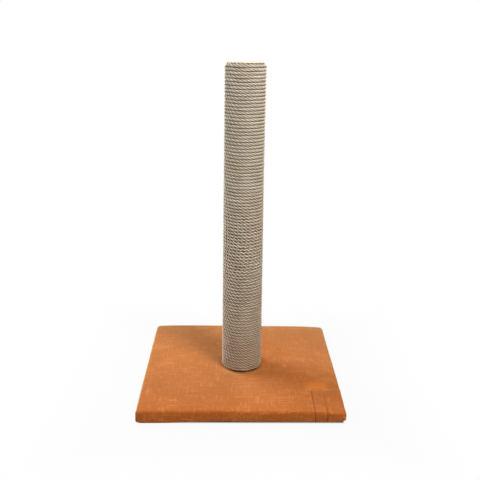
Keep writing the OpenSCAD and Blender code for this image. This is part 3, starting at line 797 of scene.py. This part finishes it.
def routePoints():  # half turn by half turn, up from the foot, over the edge and in to the top's middle
    pitch = rope["diameter"] + rope["gap"]
    wound = (rope["postDiameter"] - rope["diameter"]) / 2
    first = rope["seat"] + rope["clear"] + rope["diameter"] / 2
    top = rope["height"] - rope["diameter"] / 2
    last = top - rope["edgeRise"]
    halves = math.floor(2 * (last - first) / pitch)
    step = (last - first) / halves
    topRadius = wound - math.sqrt(pitch ** 2 - rope["edgeRise"] ** 2)
    edgeRadius = topRadius + pitch / 2
    edgeHeight = last - step + math.sqrt(pitch ** 2 - (wound - edgeRadius) ** 2)
    inward = math.floor((topRadius - rope["diameter"] * 0.85) / (pitch / 2))
    stops = [(wound, first + k * step) for k in range(halves + 1)] + [(edgeRadius, edgeHeight)]
    stops += [(topRadius - k * pitch / 2, top) for k in range(inward)] + [(rope["tuckReach"], top)]
    path, sign = [], 1
    for start, stop in zip(stops, stops[1:]):
        a, b = np.array([sign * start[0], start[1]]), np.array([-sign * stop[0], stop[1]])
        middle, reach = (a + b) / 2, (a - b) / 2
        span = np.hypot(*reach)
        t = np.linspace(0, math.pi, max(24, int(span * 7)), endpoint=False)
        x, z = middle[0] + reach[0] * np.cos(t), middle[1] + reach[1] * np.cos(t)
        path.append(np.stack([x, -sign * span * np.sin(t), z], 1))
        sign = -sign
    t, bend = np.linspace(0, math.pi / 2, 14), rope["tuckRadius"]
    x, z = sign * rope["tuckReach"] + 0 * t, top - bend + bend * np.cos(t)
    path.append(np.stack([x, -sign * bend * np.sin(t), z], 1))
    path.append(np.array([[sign * rope["tuckReach"], -sign * bend, top - bend - rope["tuckDrop"]]]))
    route = np.concatenate(path)
    route[:, :2] *= 1 + rope["swell"] / wound * np.clip(1 - route[:, 2:] / rope["swellTop"], 0, 1)
    turn = math.radians(rope["startAngle"])
    x = route[:, 0] * math.cos(turn) - route[:, 1] * math.sin(turn)
    y = route[:, 0] * math.sin(turn) + route[:, 1] * math.cos(turn)
    x = x + rope["lean"] * np.clip(1 - route[:, 2] / rope["leanTop"], 0, 1)
    return np.stack([x, y, route[:, 2]], 1)


def evenly(route, step):
    run = np.append([0], np.cumsum(np.linalg.norm(np.diff(route, axis=0), axis=1)))
    places = np.linspace(0, run[-1], int(run[-1] / step) + 1)
    return places, np.stack([np.interp(places, run, route[:, i]) for i in range(3)], 1)


def ropeFrames(points):  # along the rope, out of the post, and square to both
    along = np.gradient(points, axis=0)
    along /= np.linalg.norm(along, axis=1)[:, None]
    flat = points * [1, 1, 0]
    outward = flat / np.maximum(np.linalg.norm(flat, axis=1), 1e-6)[:, None]
    over = rise(points[:, 2], rope["height"] - rope["diameter"], 3.0)[:, None]
    outward = outward * (1 - over) + np.array([0, 0, 1.0]) * over
    outward -= (outward * along).sum(1)[:, None] * along
    outward /= np.maximum(np.linalg.norm(outward, axis=1), 1e-6)[:, None]
    return along, outward, np.cross(along, outward)


def wander(draw, places, step, spread, spare=40, adding=False):  # a random value every step millimetres
    values = draw.normal(0, spread, int((places[-1] + spare) / step) + 1)
    return np.interp(places, np.arange(len(values)) * step, np.cumsum(values) if adding else values)


def gapShade(cosine, share, start, over):  # how much painted shade the gap towards a neighbour gets
    return share * eased((start - cosine) / over)


def tubeFaces(rows, sides):  # quads between rings of points, and a cap at each end
    first = np.arange(rows - 1)[:, None] * sides + np.arange(sides)[None, :]
    beside = np.arange(rows - 1)[:, None] * sides + (np.arange(sides)[None, :] + 1) % sides
    quads = np.stack([first, beside, beside + sides, first + sides], 2).reshape(-1, 4)
    return quads.tolist() + [list(range(sides))[::-1], [(rows - 1) * sides + i for i in range(sides)]]


def makeStrands():
    places, points = evenly(routePoints(), rope["lay"] / rope["ringsPerLay"])
    along, outward, across = ropeFrames(points)
    outward, across = outward[:, None, :], across[:, None, :]
    draw = np.random.default_rng(7)
    twist = 2 * math.pi * places / rope["lay"] + wander(draw, places, *rope["twist"], True)
    swell = 1 + wander(draw, places, *rope["ropeSwell"])
    ring = np.arange(rope["sides"]) / rope["sides"] * 2 * math.pi
    outer, aside = np.cos(ring)[None, :, None], np.sin(ring)[None, :, None]
    for strand in range(3):
        lead = (twist + strand * 2 * math.pi / 3)[:, None]
        fat = (swell * (1 + wander(draw, places, *rope["strandSwell"])))[:, None, None]
        c, s = np.cos(lead)[:, None, :], np.sin(lead)[:, None, :]
        radial, sideways = c * outward + s * across, -s * outward + c * across
        section = rope["strandThick"] * outer * radial + rope["strandWide"] * aside * sideways
        body = points[:, None, :] + rope["laidRadius"] * radial + fat * section
        mesh = bpy.data.meshes.new("sisalStrand%d" % (strand + 1))
        mesh.from_pydata((body.reshape(-1, 3) * mm).tolist(), [], tubeFaces(*body.shape[:2]))
        piece = fromMesh(mesh)
        fibre = ring[None, :] + rope["fibreTurn"] * lead
        onStrand = np.stack([places[:, None] * mm + 0 * fibre, np.cos(fibre), np.sin(fibre)], 2)
        keepValues(piece, "fibre", "FLOAT_VECTOR", onStrand)
        betweenStrands = gapShade(np.cos(ring)[None, :], *rope["strandGap"])
        betweenRows = gapShade(np.cos(ring[None, :] + lead), *rope["rowGap"])
        # painted shade where each strand turns towards the next strand or the next row
        keepValues(piece, "grooveShade", "FLOAT", 1 - (1 - betweenStrands) * (1 - betweenRows))
        dress(piece, "sisal", replaced=["sisal_rope"] if strand == 0 else (), smooth=70)
    return points, along, outward[:, 0], across[:, 0]


hairs = {
    "count": 1000, "rings": 5, "sides": 3, "sunk": 0.35, "lean": 1.1, "aside": 0.5, "out": (0.02, 0.3),
    "length": (4, 13), "thick": (0.05, 0.10), "bow": (0.2, 1.2), "taper": 0.6,
}


def makeHairs(points, along, outward, across):  # short fibres that stand out of the rope
    draw = np.random.default_rng(11)
    rings, sides = hairs["rings"], hairs["sides"]
    vertices, faces = [], []
    for hair in range(hairs["count"]):
        k = int(draw.integers(10, len(points) - 30))
        lean = draw.uniform(-hairs["lean"], hairs["lean"])
        out = outward[k] * math.cos(lean) + across[k] * math.sin(lean)
        start = points[k] + out * (rope["diameter"] / 2 - hairs["sunk"])
        way = along[k] * draw.choice([-1, 1]) + across[k] * draw.normal(0, hairs["aside"])
        way = way + out * draw.uniform(*hairs["out"])
        way /= np.linalg.norm(way)
        length, thick, bow = (draw.uniform(*hairs[k]) for k in ("length", "thick", "bow"))
        first, beside = len(vertices), np.cross(way, out)
        for ring in range(rings):
            t = ring / (rings - 1)
            middle = start + way * length * t + out * bow * math.sin(t * 2.4)
            middle = middle + across[k] * 0.6 * math.sin(t * 3)
            for corner in range(sides):
                a = corner * 2 * math.pi / sides
                radius = thick * (1 - hairs["taper"] * t)
                vertices.append((middle + radius * (math.cos(a) * out + math.sin(a) * beside)) * mm)
        for ring in range(rings - 1):
            for corner in range(sides):
                a, b = first + ring * sides + corner, first + ring * sides + (corner + 1) % sides
                faces.append((a, a + sides, b + sides, b))
        end = len(vertices) - 1
        faces += [(first, first + 1, first + 2), (end, end - 1, end - 2)]
    mesh = bpy.data.meshes.new("sisalFibres")
    mesh.from_pydata(vertices, [], faces)
    piece = fromMesh(mesh)
    weld(piece, 0.001)
    dress(piece, "sisal fibre")


strandRoute = makeStrands()
print("the rope is wound")
makeHairs(*strandRoute)


# the stitches across the tab's sewn end, in millimetres
stitch = {
    "rows": 2, "inRow": 4, "pitch": 4.0, "rowPitch": 5.0, "margin": 2.5, "up": 0.05,
    "size": (1.4, 0.38, 0.32),
}


def makeStitches():
    parts = []
    for row in range(stitch["rows"]):
        for place in range(stitch["inRow"]):
            x = tab["x"] + (place - (stitch["inRow"] - 1) / 2) * stitch["pitch"]
            y = sewnEnd - stitch["margin"] - row * stitch["rowPitch"]
            crown = crownHeight(base["half"] - max(abs(x), abs(y)))
            z = float(crown - drawnDown(x, y, crown) + topRelief(np.array(x), np.array(y))) + tab["proud"]
            deselect()
            bpy.ops.mesh.primitive_uv_sphere_add(
                segments=12, ring_count=8, radius=1, location=(x * mm, y * mm, (z + stitch["up"]) * mm),
                scale=[size * mm for size in stitch["size"]])
            parts.append(bpy.context.object)
    deselect()
    for part in parts:
        part.select_set(True)
    bpy.context.view_layer.objects.active = parts[0]
    bpy.ops.object.join()
    piece = justMade("tabStitches")
    bpy.ops.object.transform_apply(location=True, rotation=True, scale=True)
    dress(piece, "sewing thread", replaced=["tab_stitching"])


makeStitches()
print("the stitches and loose fibres are in")


# the floor, backdrop and lamps, in metres
studio = {
    "size": 9, "floor": rgb(0.58, 0.58, 0.58), "world": 0.02, "shadow": 0.06,
    "contact": (0.1915, 0.1965), "contactTurn": 0.012,  # the gap under the base stays dark
    "white": (0.24, 0.42),  # farther out the floor is plain white
    "lamps": [  # place, aim, width, height, power, colour
        ((0.55, -0.80, 1.90), (0, 0, 0.30), 0.5, 0.5, 17.5, (1.0, 0.985, 0.95)),
        ((0.60, -0.75, 1.25), (0, 0, 0.55), 0.4, 0.4, 6.5, (1.0, 0.99, 0.96)),
        ((-0.55, -1.10, 1.00), (0, 0, 0.55), 0.5, 0.5, 2.4, (1.0, 1.0, 1.0)),
        ((-1.08, 0.68, 1.00), (0, 0, 0.25), 0.9, 1.5, 25, (0.94, 0.98, 1.0)),
        ((0.50, 0.90, 2.40), (0, 0, 0.10), 1.0, 1.0, 8.5, (1.0, 1.0, 1.0)),
    ],
}


def makeFloor():
    deselect()
    bpy.ops.mesh.primitive_plane_add(size=studio["size"])
    floor = justMade("floor")
    p = Paint(bpy.data.materials.new("pale floor"))
    lit = p.node("ShaderNodeBsdfDiffuse", {}, {"Color": studio["floor"]})
    white = p.node("ShaderNodeEmission", {}, {"Color": rgb(1, 1, 1), "Strength": 1.0})
    unseen = p.node("ShaderNodeBsdfTransparent")
    x, y = p.along(p.here(), "X"), p.along(p.here(), "Y")
    away = x.maths("ABSOLUTE", 0.0).maths("MAXIMUM", y.maths("ABSOLUTE", 0.0) + x * studio["contactTurn"])
    clear, near = p.span(away, *studio["contact"]), 1 - p.span(away, *studio["white"])
    share = p.looking() * (1 - near * studio["shadow"]) * clear
    fromBelow = p.node("ShaderNodeNewGeometry", output="Backfacing")  # there the floor isn't in the way
    seen = p.mixed(share, lit, white)
    p.node("ShaderNodeOutputMaterial", {}, {"Surface": p.mixed(fromBelow, seen, unseen)})
    floor.data.materials.append(p.owner)


def makeBackdrop():
    p = Paint(bpy.data.worlds.new("studio"))
    lit = p.node("ShaderNodeBackground", {}, {"Color": rgb(1, 1, 1), "Strength": studio["world"]})
    white = p.node("ShaderNodeBackground", {}, {"Color": rgb(1, 1, 1), "Strength": 1.0})
    p.node("ShaderNodeOutputWorld", {}, {"Surface": p.mixed(p.looking(), lit, white)})
    bpy.context.scene.world = p.owner
    bpy.context.scene.view_settings.view_transform = "Standard"


def makeLamps():
    for place, aim, width, height, power, color in studio["lamps"]:
        data = bpy.data.lights.new("softbox", "AREA")
        data.shape, data.size, data.size_y = "RECTANGLE", width, height
        data.energy, data.color = power, color
        lamp = bpy.data.objects.new("softbox", data)
        bpy.context.scene.collection.objects.link(lamp)
        lamp.location = place
        lamp.rotation_euler = (Vector(aim) - Vector(place)).to_track_quat("-Z", "Y").to_euler()


makeFloor()
makeBackdrop()
makeLamps()
print("the studio is lit")
